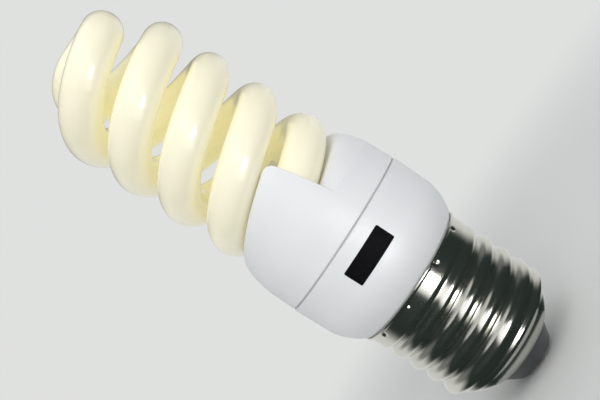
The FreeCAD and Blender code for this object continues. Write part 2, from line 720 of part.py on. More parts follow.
def choke_winding():
    low, high, reach = choke_window()
    inner_width = CORE_MIDDLE_LEG + 4 * FIT + 2 * BOBBIN_WALL
    inner_depth = CORE_DEPTH + 4 * FIT + 2 * BOBBIN_WALL
    width = 2 * (reach - WINDING_MARGIN)
    depth = CORE_DEPTH + 2 * (BOBBIN_REACH - WINDING_MARGIN)
    z = low + BOBBIN_FLANGE + FIT
    tall = high - low - 2 * (BOBBIN_FLANGE + FIT)
    edge = (width - inner_width) / 2
    coil = rounded_block(width, depth, tall, CHOKE_X, CHOKE_Y, z, edge)
    return coil.cut(block(inner_width, inner_depth, tall, CHOKE_X, CHOKE_Y, z))


def drive_toroid():
    high = BOARD_BOTTOM - TOROID_STAND
    body = ring(TOROID_HOLE_DIA / 2, TOROID_DIA / 2, high - TOROID_HEIGHT, high)
    body.translate(V(TOROID_X, TOROID_Y, 0))
    return body


def toroid_directions():
    apart = 360 / TOROID_WINDING_COUNT
    return [math.radians(TOROID_FIRST_DEG + apart * i) for i in range(TOROID_WINDING_COUNT)]


def toroid_places():
    middle = (TOROID_DIA + TOROID_HOLE_DIA) / 4
    half = math.radians(TOROID_LEAD_DEG) / 2
    angles = [direction + turn for direction in toroid_directions() for turn in (-half, half)]
    return [(TOROID_X + middle * math.cos(a), TOROID_Y + middle * math.sin(a)) for a in angles]


def ring_section(margin, low, high):
    """Section of the toroid's ring with a margin all round."""
    inner, outer = TOROID_HOLE_DIA / 2 - margin, TOROID_DIA / 2 + margin
    corners = [(inner, low - margin), (outer, low - margin), (outer, high + margin), (inner, high + margin)]
    return outline(*corners)


def toroid_windings():
    high = BOARD_BOTTOM - TOROID_STAND
    low = high - TOROID_HEIGHT
    wrap = FIT + TOROID_WIRE
    section = ring_section(wrap, low, high).cut(ring_section(FIT, low, high))
    sleeves = []
    for direction in toroid_directions():
        sleeve = section.revolve(ORIGIN, UP, TOROID_WINDING_DEG)
        sleeve.rotate(ORIGIN, UP, math.degrees(direction) - TOROID_WINDING_DEG / 2)
        sleeve.translate(V(TOROID_X, TOROID_Y, 0))
        sleeves.append(sleeve.Solids[0])
    places = toroid_places()
    pairs = [places[2 * i:2 * i + 2] for i in range(TOROID_WINDING_COUNT)]
    wired = [fused(s, *hanging_leads(pair, high + wrap - TOROID_WIRE / 2)) for s, pair in zip(sleeves, pairs)]
    return Part.makeCompound(wired)


def transistor_places(x, y):
    return [(x + side * TRANSISTOR_PITCH, y) for side in (-1, 0, 1)]


def transistor(x, y):
    high = BOARD_BOTTOM - TRANSISTOR_STAND
    body = cylinder(TRANSISTOR_DIA, TRANSISTOR_HEIGHT, x, y, high - TRANSISTOR_HEIGHT)
    beyond = y + TRANSISTOR_FLAT + TRANSISTOR_DIA / 2
    flat = block(TRANSISTOR_DIA, TRANSISTOR_DIA, TRANSISTOR_HEIGHT, x, beyond, high - TRANSISTOR_HEIGHT)
    return fused(body.cut(flat), *hanging_leads(transistor_places(x, y), high - LEAD_DIA))


def axial_places(x, y, span):
    return [(x, y + side * span / 2) for side in (-1, 1)]


def axial(x, y, diameter, length, span):
    """Round body lying along Y on the board, with both leads bent down through it."""
    z = BOARD_TOP + AXIAL_STAND + diameter / 2
    body = softened(Part.makeCylinder(diameter / 2, length, V(x, y - length / 2, z), V(0, 1, 0)), AXIAL_EDGE)
    (x, near), (x, far) = axial_places(x, y, span)
    corners = [V(x, near, BOARD_BOTTOM), V(x, near, z), V(x, far, z), V(x, far, BOARD_BOTTOM)]
    return fused(body, rod(corners, LEAD_DIA, AXIAL_BEND))


def film_places(y):
    return [(side * FILM_PITCH / 2, y) for side in (-1, 1)]


def film_capacitor(y):
    low = BOARD_TOP + AXIAL_STAND
    body = rounded_block(FILM_LENGTH, FILM_THICKNESS, FILM_HEIGHT, 0, y, low, FILM_EDGE)
    return fused(body, *standing_leads(film_places(y), low + LEAD_DIA))


def fusible_resistor():
    body = softened(cylinder(FUSE_DIA, FUSE_LENGTH, FUSE_X, 0, FUSE_HEIGHT), AXIAL_EDGE)
    return fused(body, lead(FUSE_X, 0, STEM_HEIGHT, BOARD_TOP))


def supply_places():
    place = at(supply_radius(), math.radians(SUPPLY_DEG), 0)
    return [(place.x, place.y)]


def side_lead():
    (x, y), = supply_places()
    return cylinder(SUPPLY_DIA, SUPPLY_LENGTH, x, y, BOARD_TOP - SUPPLY_LENGTH)


def pin_angles():
    middle = STEP - ENTRY - math.radians(PIN_LEAN_DEG)
    spread = math.radians(PIN_SPREAD_DEG)
    return [middle - spread, middle + spread]


def square_post(size, angle, low, high):
    post = block(size, size, high - low, PIN_RADIUS, 0, low)
    post.rotate(ORIGIN, UP, math.degrees(angle))
    return post


def wrap_pins(size):
    """Square pins beside one end of the tube; a larger size gives their holes."""
    return [square_post(size, angle, BOARD_BOTTOM, BOARD_TOP + PIN_HEIGHT) for angle in pin_angles()]


def filament_leads():
    """Two wires from one sealed end of the tube to the wrap pins."""
    end, along = node(coil_point, -ENTRY)
    tip = end - along * NOSE_LENGTH
    across = along.cross(UP).normalize()
    wires = []
    beside = PIN_RADIUS - PIN_SIZE / 2 - FIT - FILAMENT_DIA / 2
    for side, angle in zip((1, -1), pin_angles()):
        start = tip + across * (side * FILAMENT_PITCH / 2)
        bend = start - along * (FILAMENT_RUN + WIRE_BEND)
        high = at(beside, angle, BOARD_TOP + PIN_HEIGHT)
        low = at(beside, angle, BOARD_TOP + PIN_HEIGHT / 2)
        wires.append(rod([start, bend, high, low], FILAMENT_DIA, WIRE_BEND))
    return wires


def board_places():
    places = bulk_places() + choke_places() + toroid_places() + [(FUSE_X, 0)] + supply_places()
    for x, y in TRANSISTOR_PLACES:
        places += transistor_places(x, y)
    rows = [(DIODE_PLACES, DIODE_SPAN), (RESISTOR_PLACES, RESISTOR_SPAN), (DIAC_PLACES, DIAC_SPAN)]
    for spots, span in rows:
        for x, y in spots:
            places += axial_places(x, y, span)
    return places + film_places(FILM_Y) + film_places(-FILM_Y)


def ballast_board():
    board = cylinder(2 * BOARD_R, BOARD_THICKNESS, 0, 0, BOARD_BOTTOM)
    width = LEAD_DIA + 2 * FIT
    holes = [cylinder(width, BOARD_THICKNESS, x, y, BOARD_BOTTOM) for x, y in board_places()]
    slots = wrap_pins(PIN_SIZE + 2 * FIT)
    return board.cut(holes + slots + [opposite(slot) for slot in slots])


def both(shapes):
    """Pieces of one end of the tube and the same for its other end."""
    return Part.makeCompound(shapes + [opposite(shape) for shape in shapes])


def group(make, spots, *sizes):
    return Part.makeCompound([make(x, y, *sizes) for x, y in spots])


def pieces():
    cover = upper_cover()
    return {
        "spiral_tube": spiral_tube(),
        "upper_cover": cover,
        "lower_housing": lower_housing(),
        "screw_shell": screw_shell(),
        "cap_insulator": cap_insulator(),
        "centre_contact": centre_contact(),
        "tube_cement": both([tube_cement(cover)]),
        "filament_leads": both(filament_leads()),
        "wrap_pins": both(wrap_pins(PIN_SIZE)),
        "ballast_board": ballast_board(),
        "bulk_capacitor": bulk_capacitor(),
        "choke_core": choke_core(),
        "choke_bobbin": choke_bobbin(),
        "choke_winding": choke_winding(),
        "drive_toroid": drive_toroid(),
        "toroid_windings": toroid_windings(),
        "switching_transistors": group(transistor, TRANSISTOR_PLACES),
        "rectifier_diodes": group(axial, DIODE_PLACES, DIODE_DIA, DIODE_LENGTH, DIODE_SPAN),
        "resistors": group(axial, RESISTOR_PLACES, RESISTOR_DIA, RESISTOR_LENGTH, RESISTOR_SPAN),
        "start_diac": group(axial, DIAC_PLACES, DIAC_DIA, DIAC_LENGTH, DIAC_SPAN),
        "resonant_capacitor": film_capacitor(FILM_Y),
        "blocking_capacitor": film_capacitor(-FILM_Y),
        "fusible_resistor": fusible_resistor(),
        "side_supply_lead": side_lead(),
    }


if __name__ == "__main__":
    os.makedirs("parts", exist_ok=True)
    for name, shape in pieces().items():
        shape.exportStep(f"parts/{name}.step")
        print(name, len(shape.Solids), shape.isValid(), round(shape.Volume, 1))
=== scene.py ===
import math

import bpy
from mathutils import Matrix, Vector


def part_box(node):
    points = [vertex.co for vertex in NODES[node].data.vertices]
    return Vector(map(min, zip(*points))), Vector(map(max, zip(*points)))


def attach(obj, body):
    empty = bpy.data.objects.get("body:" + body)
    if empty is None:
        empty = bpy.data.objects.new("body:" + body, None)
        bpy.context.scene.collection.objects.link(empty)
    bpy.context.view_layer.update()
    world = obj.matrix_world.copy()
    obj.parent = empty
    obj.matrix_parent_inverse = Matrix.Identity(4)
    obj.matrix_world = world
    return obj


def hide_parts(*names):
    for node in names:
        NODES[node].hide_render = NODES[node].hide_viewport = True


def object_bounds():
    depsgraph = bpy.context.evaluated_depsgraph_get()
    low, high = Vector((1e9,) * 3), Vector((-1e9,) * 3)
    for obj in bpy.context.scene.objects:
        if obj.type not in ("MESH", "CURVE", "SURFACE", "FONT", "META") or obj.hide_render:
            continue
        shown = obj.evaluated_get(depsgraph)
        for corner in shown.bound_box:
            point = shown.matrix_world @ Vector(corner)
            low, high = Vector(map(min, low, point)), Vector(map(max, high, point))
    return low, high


bl_info = {
    "name": "Spiral Energy Saving Lamp",
    "version": (1, 0, 0),
    "blender": (4, 5, 0),
    "location": "View3D > Sidebar > Lamp",
    "description": "Builds the lamp's cap and marking plate, finishes its pieces and sets up a studio",
    "category": "Object",
}

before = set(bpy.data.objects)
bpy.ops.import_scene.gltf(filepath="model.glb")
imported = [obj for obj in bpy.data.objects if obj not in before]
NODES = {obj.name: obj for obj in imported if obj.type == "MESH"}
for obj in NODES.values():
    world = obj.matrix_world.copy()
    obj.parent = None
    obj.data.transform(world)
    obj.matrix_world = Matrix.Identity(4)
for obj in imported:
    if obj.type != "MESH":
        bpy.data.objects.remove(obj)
CAD_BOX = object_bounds()
SHELL_LOW, SHELL_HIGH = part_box("screw_shell")
GLASS_LOW, GLASS_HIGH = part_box("cap_insulator")
HOUSING_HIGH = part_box("lower_housing")[1]
COIL_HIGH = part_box("spiral_tube")[1]
LAMP_FOOT = CAD_BOX[0][2]
SEAM_Z = HOUSING_HIGH.z
MM = 0.001
FRONT = math.radians(270)
SOFT_EDGE = 0.2 * MM

# Outside of the lower housing, which the marking plate lies on
WALL_HEIGHT = 5.9 * MM
WALL_DRAFT = 0.18 * MM
FOOT_RADIUS = 13.45 * MM
FOOT_LIFT = 0.5 * MM
FOOT_ROUND = 10.8 * MM

# Fineness of the meshes
SHELL_SEGMENTS = 320
BOWL_STEPS = 40
THREAD_STEPS = 132
RIM_STEPS = 6
INSIDE_STRIDE = 3
GLASS_SEGMENTS = 192
EDGE_STEPS = 10
CONE_STEPS = 16
PLATE_COLUMNS = 48
PLATE_ROWS = 20
CARD_SEGMENTS = 120


# Shader expressions

class Value:
    """Output of a shader node that takes part in sums and products."""

    def __init__(self, shading, socket):
        self.shading = shading
        self.socket = socket

    def _math(self, operation, first, second=0.0):
        return self.shading.node("ShaderNodeMath", {"operation": operation}, {0: first, 1: second})

    def __add__(self, other):
        return self._math("ADD", self, other)

    def __radd__(self, other):
        return self._math("ADD", other, self)

    def __sub__(self, other):
        return self._math("SUBTRACT", self, other)

    def __rsub__(self, other):
        return self._math("SUBTRACT", other, self)

    def __mul__(self, other):
        return self._math("MULTIPLY", self, other)

    def __rmul__(self, other):
        return self._math("MULTIPLY", other, self)

    def __truediv__(self, other):
        return self._math("DIVIDE", self, other)

    def __rtruediv__(self, other):
        return self._math("DIVIDE", other, self)

    def __pow__(self, other):
        return self._math("POWER", self, other)

    def __rpow__(self, other):
        return self._math("POWER", other, self)

    def sine(self):
        return self._math("SINE", self)

    def larger(self, other):
        return self._math("MAXIMUM", self, other)

    def between(self, low, high):
        """0 at low, 1 at high, with soft ends."""
        settings = {"interpolation_type": "SMOOTHSTEP"}
        inputs = {"Value": self, "From Min": low, "From Max": high}
        return self.shading.node("ShaderNodeMapRange", settings, inputs)

    def beside(self, output):
        """Another output of the same node."""
        return Value(self.shading, self.socket.node.outputs[output])


class Shading:
    """A node tree that is put together from expressions."""

    def __init__(self, tree):
        self.tree = tree

    def node(self, kind, settings, inputs, output=0):
        """Adds a node, sets it up, gives its sockets values or links, and returns one output."""
        made = self.tree.nodes.new(kind)
        for name, value in settings.items():
            setattr(made, name, value)
        for socket, value in inputs.items():
            self.feed(made.inputs[socket], value)
        return Value(self, made.outputs[output])

    def feed(self, socket, value):
        """Links a value to a socket, or sets a number or a colour on it."""
        if isinstance(value, Value):
            self.tree.links.new(value.socket, socket)
        elif socket.type == "RGBA":
            socket.default_value = (*value, 1.0)
        else:
            socket.default_value = value

    def seen(self):
        """1 for rays that see the background, 0 for those that light the lamp."""
        camera = self.node("ShaderNodeLightPath", {}, {}, "Is Camera Ray")
        return camera.larger(camera.beside("Is Glossy Ray")).larger(camera.beside("Is Transmission Ray"))

    def show(self, output, factor, first, second):
        """Sends a mix of two shaders to the tree's output node."""
        mixed = self.node("ShaderNodeMixShader", {}, {0: factor, 1: first, 2: second})
        self.feed(self.tree.nodes[output].inputs["Surface"], mixed)


class Finish(Shading):
    """A material. Its plain roughness is what an export that bakes nothing keeps."""

    def __init__(self, name, roughness, metallic=0.0, **constants):
        self.material = bpy.data.materials.new(name)
        self.material.use_nodes = True
        super().__init__(self.material.node_tree)
        self.shader = self.tree.nodes["Principled BSDF"]
        self.set(Roughness=roughness, Metallic=metallic, **constants)

    def set(self, **inputs):
        """Feeds the main shader's sockets, whose spaces are written as underscores."""
        for socket, value in inputs.items():
            self.feed(self.shader.inputs[socket.replace("_", " ")], value)
        return self

    def place(self):
        """Point of the surface in the lamp's own frame."""
        return self.node("ShaderNodeTexCoord", {}, {}, "Object")

    def parts(self, vector):
        first = self.node("ShaderNodeSeparateXYZ", {}, {0: vector})
        return [first.beside(axis) for axis in "XYZ"]

    def height(self, place):
        return self.parts(place)[2]

    def from_axis(self, place):
        x, y, _ = self.parts(place)
        return (x * x + y * y) ** 0.5

    def noise(self, vector, scale, detail, roughness=0.5):
        inputs = {"Vector": vector, "Scale": scale, "Detail": detail, "Roughness": roughness}
        return self.node("ShaderNodeTexNoise", {}, inputs, "Fac")

    def stretched(self, vector, scale):
        return self.node("ShaderNodeVectorMath", {"operation": "MULTIPLY"}, {0: vector, 1: scale})

    def blend(self, factor, first, second):
        """Colour that goes from the first to the second as the factor goes from 0 to 1."""
        inputs = {"Factor": factor, 6: first, 7: second}
        return self.node("ShaderNodeMix", {"data_type": "RGBA"}, inputs, 2)

    def bump(self, height, distance, strength, **more):
        inputs = {"Height": height, "Distance": distance, "Strength": strength, **more}
        return self.node("ShaderNodeBump", {}, inputs)

    def soft_bump(self, height, distance, strength):
        """Bump on a surface whose sharp edges look rounded."""
        rounded = self.node("ShaderNodeBevel", {"samples": 8}, {"Radius": SOFT_EDGE})
        return self.bump(height, distance, strength, Normal=rounded)


# Sizes and colours that a user may change

def length(name, description, default):
    return bpy.props.FloatProperty(name=name, description=description, default=default,
                                   unit="LENGTH", precision=5)


def colour(name, description, default):
    return bpy.props.FloatVectorProperty(name=name, description=description, default=default,
                                         size=3, min=0.0, max=1.0, subtype="COLOR")


def angle(name, description, default):
    return bpy.props.FloatProperty(name=name, description=description, default=default, subtype="ANGLE")


class CapSettings(bpy.types.PropertyGroup):
    crest_radius: length("Crest radius", "Thread's largest radius", 13.1 * MM)
    root_radius: length("Root radius", "Thread's smallest radius", 12.1 * MM)
    pitch: length("Pitch", "Rise of the thread in one turn", 25.4 * MM / 7)
    crest_height: length("Crest height", "Height of the crest on the lamp's right side", 22.75 * MM)
    thread_low: length("Thread foot", "Height where the thread starts", 6.9 * MM)
    thread_run: length("Thread run", "Height in which it reaches its full depth", 2.1 * MM)
    skirt_low: length("Skirt foot", "Height where the root starts to rise to the skirt", 22.2 * MM)
    skirt_run: length("Skirt run", "Height in which the root rises to the skirt", 2.0 * MM)
    skirt_radius: length("Skirt radius", "Plain part above the thread", 12.95 * MM)
    rim_height: length("Rim height", "Flared lip at the upper edge", 0.3 * MM)
    rim_edge: length("Rim edge", "Bevel of the lip", 0.1 * MM)
    mouth_radius: length("Mouth radius", "Open lower end", 7.6 * MM)
    bowl_top: length("Bowl top", "Height where the lower end runs into the root", 9.4 * MM)
    bowl_width: length("Bowl width", "Radius at that height", 12.3 * MM)
    bowl_round: length("Bowl round", "Round of the lower end", 9.0 * MM)
    wall: length("Wall", "Thickness of the metal", 0.35 * MM)
    mark_count: bpy.props.IntProperty(name="Punch marks", description="Crimp marks round the skirt",
                                      default=10, min=0)
    mark_drop: length("Mark drop", "From the rim to the punch marks", 1.0 * MM)
    mark_width: length("Mark width", "Half width of a punch mark", 0.55 * MM)
    mark_depth: length("Mark depth", "Depth of a punch mark", 0.35 * MM)


class InsulatorSettings(bpy.types.PropertyGroup):
    tip_radius: length("Tip radius", "Flat end round the contact", 4.15 * MM)
    edge: length("Edge", "Round between the flat end and the cone", 0.85 * MM)
    gap: length("Gap", "Room to the mouth of the shell", 0.12 * MM)
    hole_radius: length("Hole radius", "Hole for the contact's stem", 1.25 * MM)
    flange_radius: length("Flange radius", "Glass behind the mouth", 8.6 * MM)
    flange_height: length("Flange height", "Upright edge of that glass", 0.5 * MM)


class PlateSettings(bpy.types.PropertyGroup):
    width: length("Width", "Size round the housing", 9.52 * MM)
    height: length("Height", "Size along the lamp's axis", 3.47 * MM)
    middle: length("Middle", "Height of its middle", 36.05 * MM)
    direction: angle("Direction", "Where it sits round the housing", math.radians(267.2))
    corner: length("Corner", "Radius of its corners", 0.18 * MM)
    thickness: length("Thickness", "How far it stands on the housing", 0.03 * MM)


class FinishSettings(bpy.types.PropertyGroup):
    cream: colour("Cream", "Outer side of the coated glass", (0.93, 0.88, 0.69))
    # Painted shade: yellow that stands for the shade and bounced light between the strands
    painted_shade_yellow: colour("Yellow", "Inner side of the coated glass", (0.85, 0.79, 0.49))
    # Painted glow: the unlit tube gives off this light, as if light shone through the coat
    glow: colour("Glow", "Light that the coat scatters between the strands", (0.78, 0.76, 0.50))
    white: colour("White", "Moulded housing", (0.82, 0.83, 0.845))
    seam: colour("Seam", "Shade in the joint of the housing", (0.62, 0.62, 0.63))
    nickel: colour("Nickel", "Plated screw shell", (0.74, 0.73, 0.67))
    cap_glass: colour("Cap glass", "Insulator", (0.034, 0.038, 0.042))
    plate: colour("Plate", "Bare marking plate", (0.004, 0.004, 0.005))
    contact: colour("Contact", "Centre contact", (0.56, 0.50, 0.38))
    copper: colour("Copper", "Enamelled windings", (0.50, 0.17, 0.05))


class StageSettings(bpy.types.PropertyGroup):
    backdrop: colour("Backdrop", "Floor and background", (0.74, 0.75, 0.74))
    ambient: colour("Ambient", "Light from all round", (0.96, 0.98, 1.0))
    ambient_strength: bpy.props.FloatProperty(name="Ambient strength", default=0.46, min=0.0,
                                              description="Strength of the light from all round")
    camera: bpy.props.FloatVectorProperty(name="Camera", description="Camera position", size=3, unit="LENGTH",
                                          default=(0.0, -134.44 * MM, SEAM_Z + 7.825 * MM))
    lens: bpy.props.FloatProperty(name="Lens", description="Focal length on a 36 mm frame",
                                  default=45.67, unit="CAMERA")
    yaw: angle("Yaw", "Camera turn to the right", 0.0055)
    pitch: angle("Pitch", "Camera tilt upwards", 0.0128)
    roll: angle("Roll", "Camera turn about its view", -0.9967)


# Meshes

def mesh_object(name, points, faces, finish):
    mesh = bpy.data.meshes.new(name)
    mesh.from_pydata(points, [], faces)
    mesh.materials.append(finish.material)
    made = bpy.data.objects.new(name, mesh)
    bpy.context.scene.collection.objects.link(made)
    return made


def piece(name, points, faces, finish, slot, *replaced):
    """Smooth mesh object that rides on the lamp."""
    made = mesh_object(name, points, faces, finish)
    made.data.validate()
    made.data.shade_smooth()
    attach(made, "root")
    if replaced:
        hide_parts(*replaced)
    return made


def dress(finish, *names):
    """Gives CAD nodes a finish."""
    for name in names:
        slots = NODES[name].data.materials
        slots.clear()
        slots.append(finish.material)


def soft_step(value):
    value = min(1.0, max(0.0, value))
    return value * value * (3 - 2 * value)


def round_turn(count):
    """Directions of evenly spaced points round the axis."""
    return [2 * math.pi * i / count for i in range(count)]


def on_ring(radius, direction, z):
    return (radius * math.cos(direction), radius * math.sin(direction), z)


def arc_centre(first, last, radius):
    """Centre of the arc from first to last that bulges away from the axis."""
    chord = last - first
    out = Vector((chord.y, -chord.x)).normalized()
    return (first + last) / 2 - out * math.sqrt(radius ** 2 - chord.length_squared / 4)


def arc_line(first, last, radius, steps):
    """Points on that arc, from first up to just before last."""
    first, last = Vector(first), Vector(last)
    centre = arc_centre(first, last, radius)
    start, end = (math.atan2(point.y - centre.y, point.x - centre.x) for point in (first, last))
    turns = [start + (end - start) * i / steps for i in range(steps)]
    return [(centre.x + radius * math.cos(turn), centre.y + radius * math.sin(turn)) for turn in turns]


def shell_profile(cap):
    """Outer line of the screw shell without its thread, from the mouth to the rim: (radius, height)."""
    mouth, bowl = (cap.mouth_radius, SHELL_LOW.z), (cap.bowl_width, cap.bowl_top)
    line = arc_line(mouth, bowl, cap.bowl_round, BOWL_STEPS)
    rim_low = SHELL_HIGH.z - 2 * cap.rim_height
    for i in range(THREAD_STEPS):
        z = cap.bowl_top + (rim_low - cap.bowl_top) * i / THREAD_STEPS
        radius = cap.root_radius
        radius += (cap.bowl_width - cap.root_radius) * (1 - soft_step((z - cap.bowl_top) / cap.thread_run))
        radius += (cap.skirt_radius - cap.root_radius) * soft_step((z - cap.skirt_low) / cap.skirt_run)
        line.append((radius, z))
    for i in range(RIM_STEPS + 1):
        share = i / RIM_STEPS
        radius = cap.skirt_radius + (SHELL_HIGH.x - cap.skirt_radius) * soft_step(share)
        line.append((radius, rim_low + cap.rim_height * share))
    line.append((SHELL_HIGH.x, SHELL_HIGH.z - cap.rim_edge))
    line.append((SHELL_HIGH.x - cap.rim_edge, SHELL_HIGH.z))
    return line


def thread_ridge(cap, direction, z):
    """How far the rolled thread stands out of the shell's root; its crests are broader than its roots."""
    rise = soft_step((z - cap.thread_low) / cap.thread_run)
    fade = 1 - soft_step((z - cap.skirt_low) / cap.skirt_run)
    turn = 2 * math.pi * (z - cap.crest_height) / cap.pitch - direction
    broad = 0.15
    swing = math.cos(turn) - broad * math.cos(2 * turn) + broad
    return (cap.crest_radius - cap.root_radius) * (rise * fade) * (1 + swing) / 2


def mark_dent(cap, direction, z):
    """Depth of the nearest punch mark."""
    if cap.mark_count == 0:
        return 0.0
    step = 2 * math.pi / cap.mark_count
    off = (direction - FRONT) % step - step / 2
    across = math.hypot(off * cap.skirt_radius, z - SHELL_HIGH.z + cap.mark_drop) / cap.mark_width
    return cap.mark_depth * (1 - soft_step(across))


def closed_rings(count, segments):
    """Faces between rings of points, the last of which joins the first."""
    faces = []
    for row in range(count):
        low, high = row * segments, (row + 1) % count * segments
        for i in range(segments):
            j = (i + 1) % segments
            faces.append((low + i, low + j, high + j, high + i))
    return faces


def shell_mesh(cap):
    """Thin walled shell: out along the profile, then back inside the wall, which is lifted in the bowl."""
    outer = shell_profile(cap)
    rows = [(radius, z, 0.0) for radius, z in outer]
    rows += [(radius, z, cap.wall) for radius, z in outer[::-INSIDE_STRIDE]]
    points = []
    for radius, z, inward in rows:
        lift = inward / 2 if z < cap.bowl_top else 0.0
        for direction in round_turn(SHELL_SEGMENTS):
            here = radius + thread_ridge(cap, direction, z) - mark_dent(cap, direction, z) - inward
            points.append(on_ring(here, direction, z + lift))
    return points, closed_rings(len(rows), SHELL_SEGMENTS)


def insulator_mesh(glass, cap):
    """Glass cone with a round edge, a hole for the contact and a flange behind the shell's mouth."""
    low, high = GLASS_LOW.z, GLASS_HIGH.z
    tip, flange = glass.tip_radius, glass.flange_radius
    throat = cap.mouth_radius - cap.wall - glass.gap
    # Two more rings keep the shading of the flat end even
    flat_rings = (0.6 * tip, tip - 0.3 * MM)
    line = [(radius, low) for radius in (glass.hole_radius, *flat_rings)]
    edge_rise = 0.6 * glass.edge
    edge_top = (tip + glass.edge, low + edge_rise)
    line += arc_line((tip, low), edge_top, glass.edge, EDGE_STEPS)
    throat_low, throat_high = SHELL_LOW.z + 0.1 * MM, SHELL_LOW.z + 2 * cap.wall
    foot, head = Vector(edge_top), Vector((throat, throat_low))
    line += [tuple(foot.lerp(head, i / CONE_STEPS)) for i in range(CONE_STEPS + 1)]
    line += [(throat, throat_high), (flange, high - glass.flange_height), (flange, high)]
    line.append((glass.hole_radius, high))
    turns = round_turn(GLASS_SEGMENTS)
    points = [on_ring(radius, turn, z) for radius, z in line for turn in turns]
    return points, closed_rings(len(line), GLASS_SEGMENTS)


def housing_radius(z):
    """Outside of the lower housing where the plate sits: a drafted wall over a round."""
    wall_foot = SEAM_Z - WALL_HEIGHT
    if z >= wall_foot:
        return HOUSING_HIGH.x - WALL_DRAFT * (SEAM_Z - z) / WALL_HEIGHT
    foot = Vector((FOOT_RADIUS, SHELL_HIGH.z + FOOT_LIFT))
    head = Vector((HOUSING_HIGH.x - WALL_DRAFT, wall_foot))
    centre = arc_centre(foot, head, FOOT_ROUND)
    return centre.x + math.sqrt(FOOT_ROUND ** 2 - (z - centre.y) ** 2)


def plate_points(plate):
    """Two layers of rows on the housing: the plate's back, then its face."""
    half_width, half_height = plate.width / 2, plate.height / 2
    points = []
    for layer in (0.0, plate.thickness):
        for j in range(PLATE_ROWS + 1):
            v = -half_height + plate.height * j / PLATE_ROWS
            inset = max(0.0, abs(v) - half_height + plate.corner)
            short = plate.corner - math.sqrt(max(0.0, plate.corner ** 2 - inset ** 2))
            z = plate.middle + v
            radius = housing_radius(z) + layer
            for i in range(PLATE_COLUMNS + 1):
                u = (half_width - short) * (2 * i / PLATE_COLUMNS - 1)
                points.append(on_ring(radius, plate.direction + u / HOUSING_HIGH.x, z))
    return points


def plate_faces():
    """Face, back and edge of the plate."""
    stride = PLATE_COLUMNS + 1
    upper = stride * (PLATE_ROWS + 1)
    faces = []
    for j in range(PLATE_ROWS):
        for i in range(PLATE_COLUMNS):
            a = j * stride + i
            faces.append((upper + a, upper + a + 1, upper + a + 1 + stride, upper + a + stride))
            faces.append((a + stride, a + stride + 1, a + 1, a))
    edge = list(range(stride))
    edge += [j * stride + PLATE_COLUMNS for j in range(1, PLATE_ROWS + 1)]
    edge += [PLATE_ROWS * stride + i for i in range(PLATE_COLUMNS - 1, -1, -1)]
    edge += [j * stride for j in range(PLATE_ROWS - 1, 0, -1)]
    for a, b in zip(edge, edge[1:] + edge[:1]):
        faces.append((a, b, upper + b, upper + a))
    return faces


# Finishes

def shade(factor, tone):
    """The same colour, darker."""
    return [factor * c for c in tone]


def coated_glass(colours):
    """Glass tube with a cream powder coat. Painted shade makes it yellower towards the axis, hardly so where
    it closes on top, and a painted glow lights it, most towards the axis.
    """
    # Painted glow: a faint emission over the whole tube
    finish = Finish("coated_glass", roughness=0.42, Coat_Weight=1.0, Coat_Roughness=0.06, Coat_IOR=1.5,
                    Emission_Strength=0.26)
    place = finish.place()
    # Painted shade: the coat turns yellow towards the axis, where the strands shade one another, less so on
    # the top bridge
    inside, outside = 6.0 * MM, 13.6 * MM
    bridge_low, bridge_high = COIL_HIGH.z - 11.0 * MM, COIL_HIGH.z - 5.0 * MM
    pale_bridge = 0.85 * finish.height(place).between(bridge_low, bridge_high)
    inward = (1 - finish.from_axis(place).between(inside, outside)) * (1 - pale_bridge)
    cloud = finish.noise(place, scale=180.0, detail=4.0)
    grain = finish.noise(place, scale=2600.0, detail=2.0)
    depth = inward * (0.9 + 0.2 * cloud)
    finish.set(Base_Color=finish.blend(depth, colours.cream, colours.painted_shade_yellow))
    # Painted glow, stronger towards the axis, where the strands lie in shade
    finish.set(Emission_Color=finish.blend(depth, shade(0.55, colours.glow), colours.glow))
    finish.set(Roughness=0.36 + 0.1 * grain)
    wave = finish.noise(finish.stretched(place, (1.0, 1.0, 1.6)), scale=55.0, detail=1.0)
    return finish.set(Normal=finish.bump(wave, distance=0.05 * MM, strength=0.5))


def moulded_plastic(colours):
    """White moulded plastic with a fine satin skin and a shaded line in the seam."""
    finish = Finish("moulded_plastic", roughness=0.46)
    place = finish.place()
    cloud = finish.noise(place, scale=70.0, detail=3.0)
    skin = finish.noise(place, scale=3800.0, detail=2.0)
    tone = finish.blend(cloud.between(0.3, 0.7), colours.white, shade(0.965, colours.white))
    line, line_edge = 0.10 * MM, 0.24 * MM
    off_seam = finish.height(place) - SEAM_Z
    seam = 1 - (off_seam * off_seam).between(line ** 2, line_edge ** 2)
    finish.set(Base_Color=finish.blend(seam, tone, colours.seam), Roughness=0.42 + 0.1 * skin)
    return finish.set(Normal=finish.soft_bump(skin, distance=0.004 * MM, strength=0.6))


def plated_metal(colours):
    """Bright nickel plate with fine rolling lines, darker and rougher nearer the axis: in the thread's roots
    and the bowl.
    """
    finish = Finish("plated_metal", roughness=0.14, metallic=1.0)
    place = finish.place()
    cloud = finish.noise(place, scale=160.0, detail=4.0)
    lines = finish.noise(finish.stretched(place, (40.0, 40.0, 5200.0)), scale=1.0, detail=2.0)
    # Darker and rougher in the thread's roots and the bowl
    dull_radius, bright_radius = 12.0 * MM, 12.8 * MM
    root = 1 - finish.from_axis(place).between(dull_radius, bright_radius)
    tone = finish.blend(0.5 * root + 0.35 * cloud, colours.nickel, shade(0.80, colours.nickel))
    finish.set(Base_Color=tone, Roughness=0.10 + 0.06 * cloud + 0.05 * lines + 0.05 * root)
    return finish.set(Normal=finish.bump(lines, distance=0.004 * MM, strength=0.5))


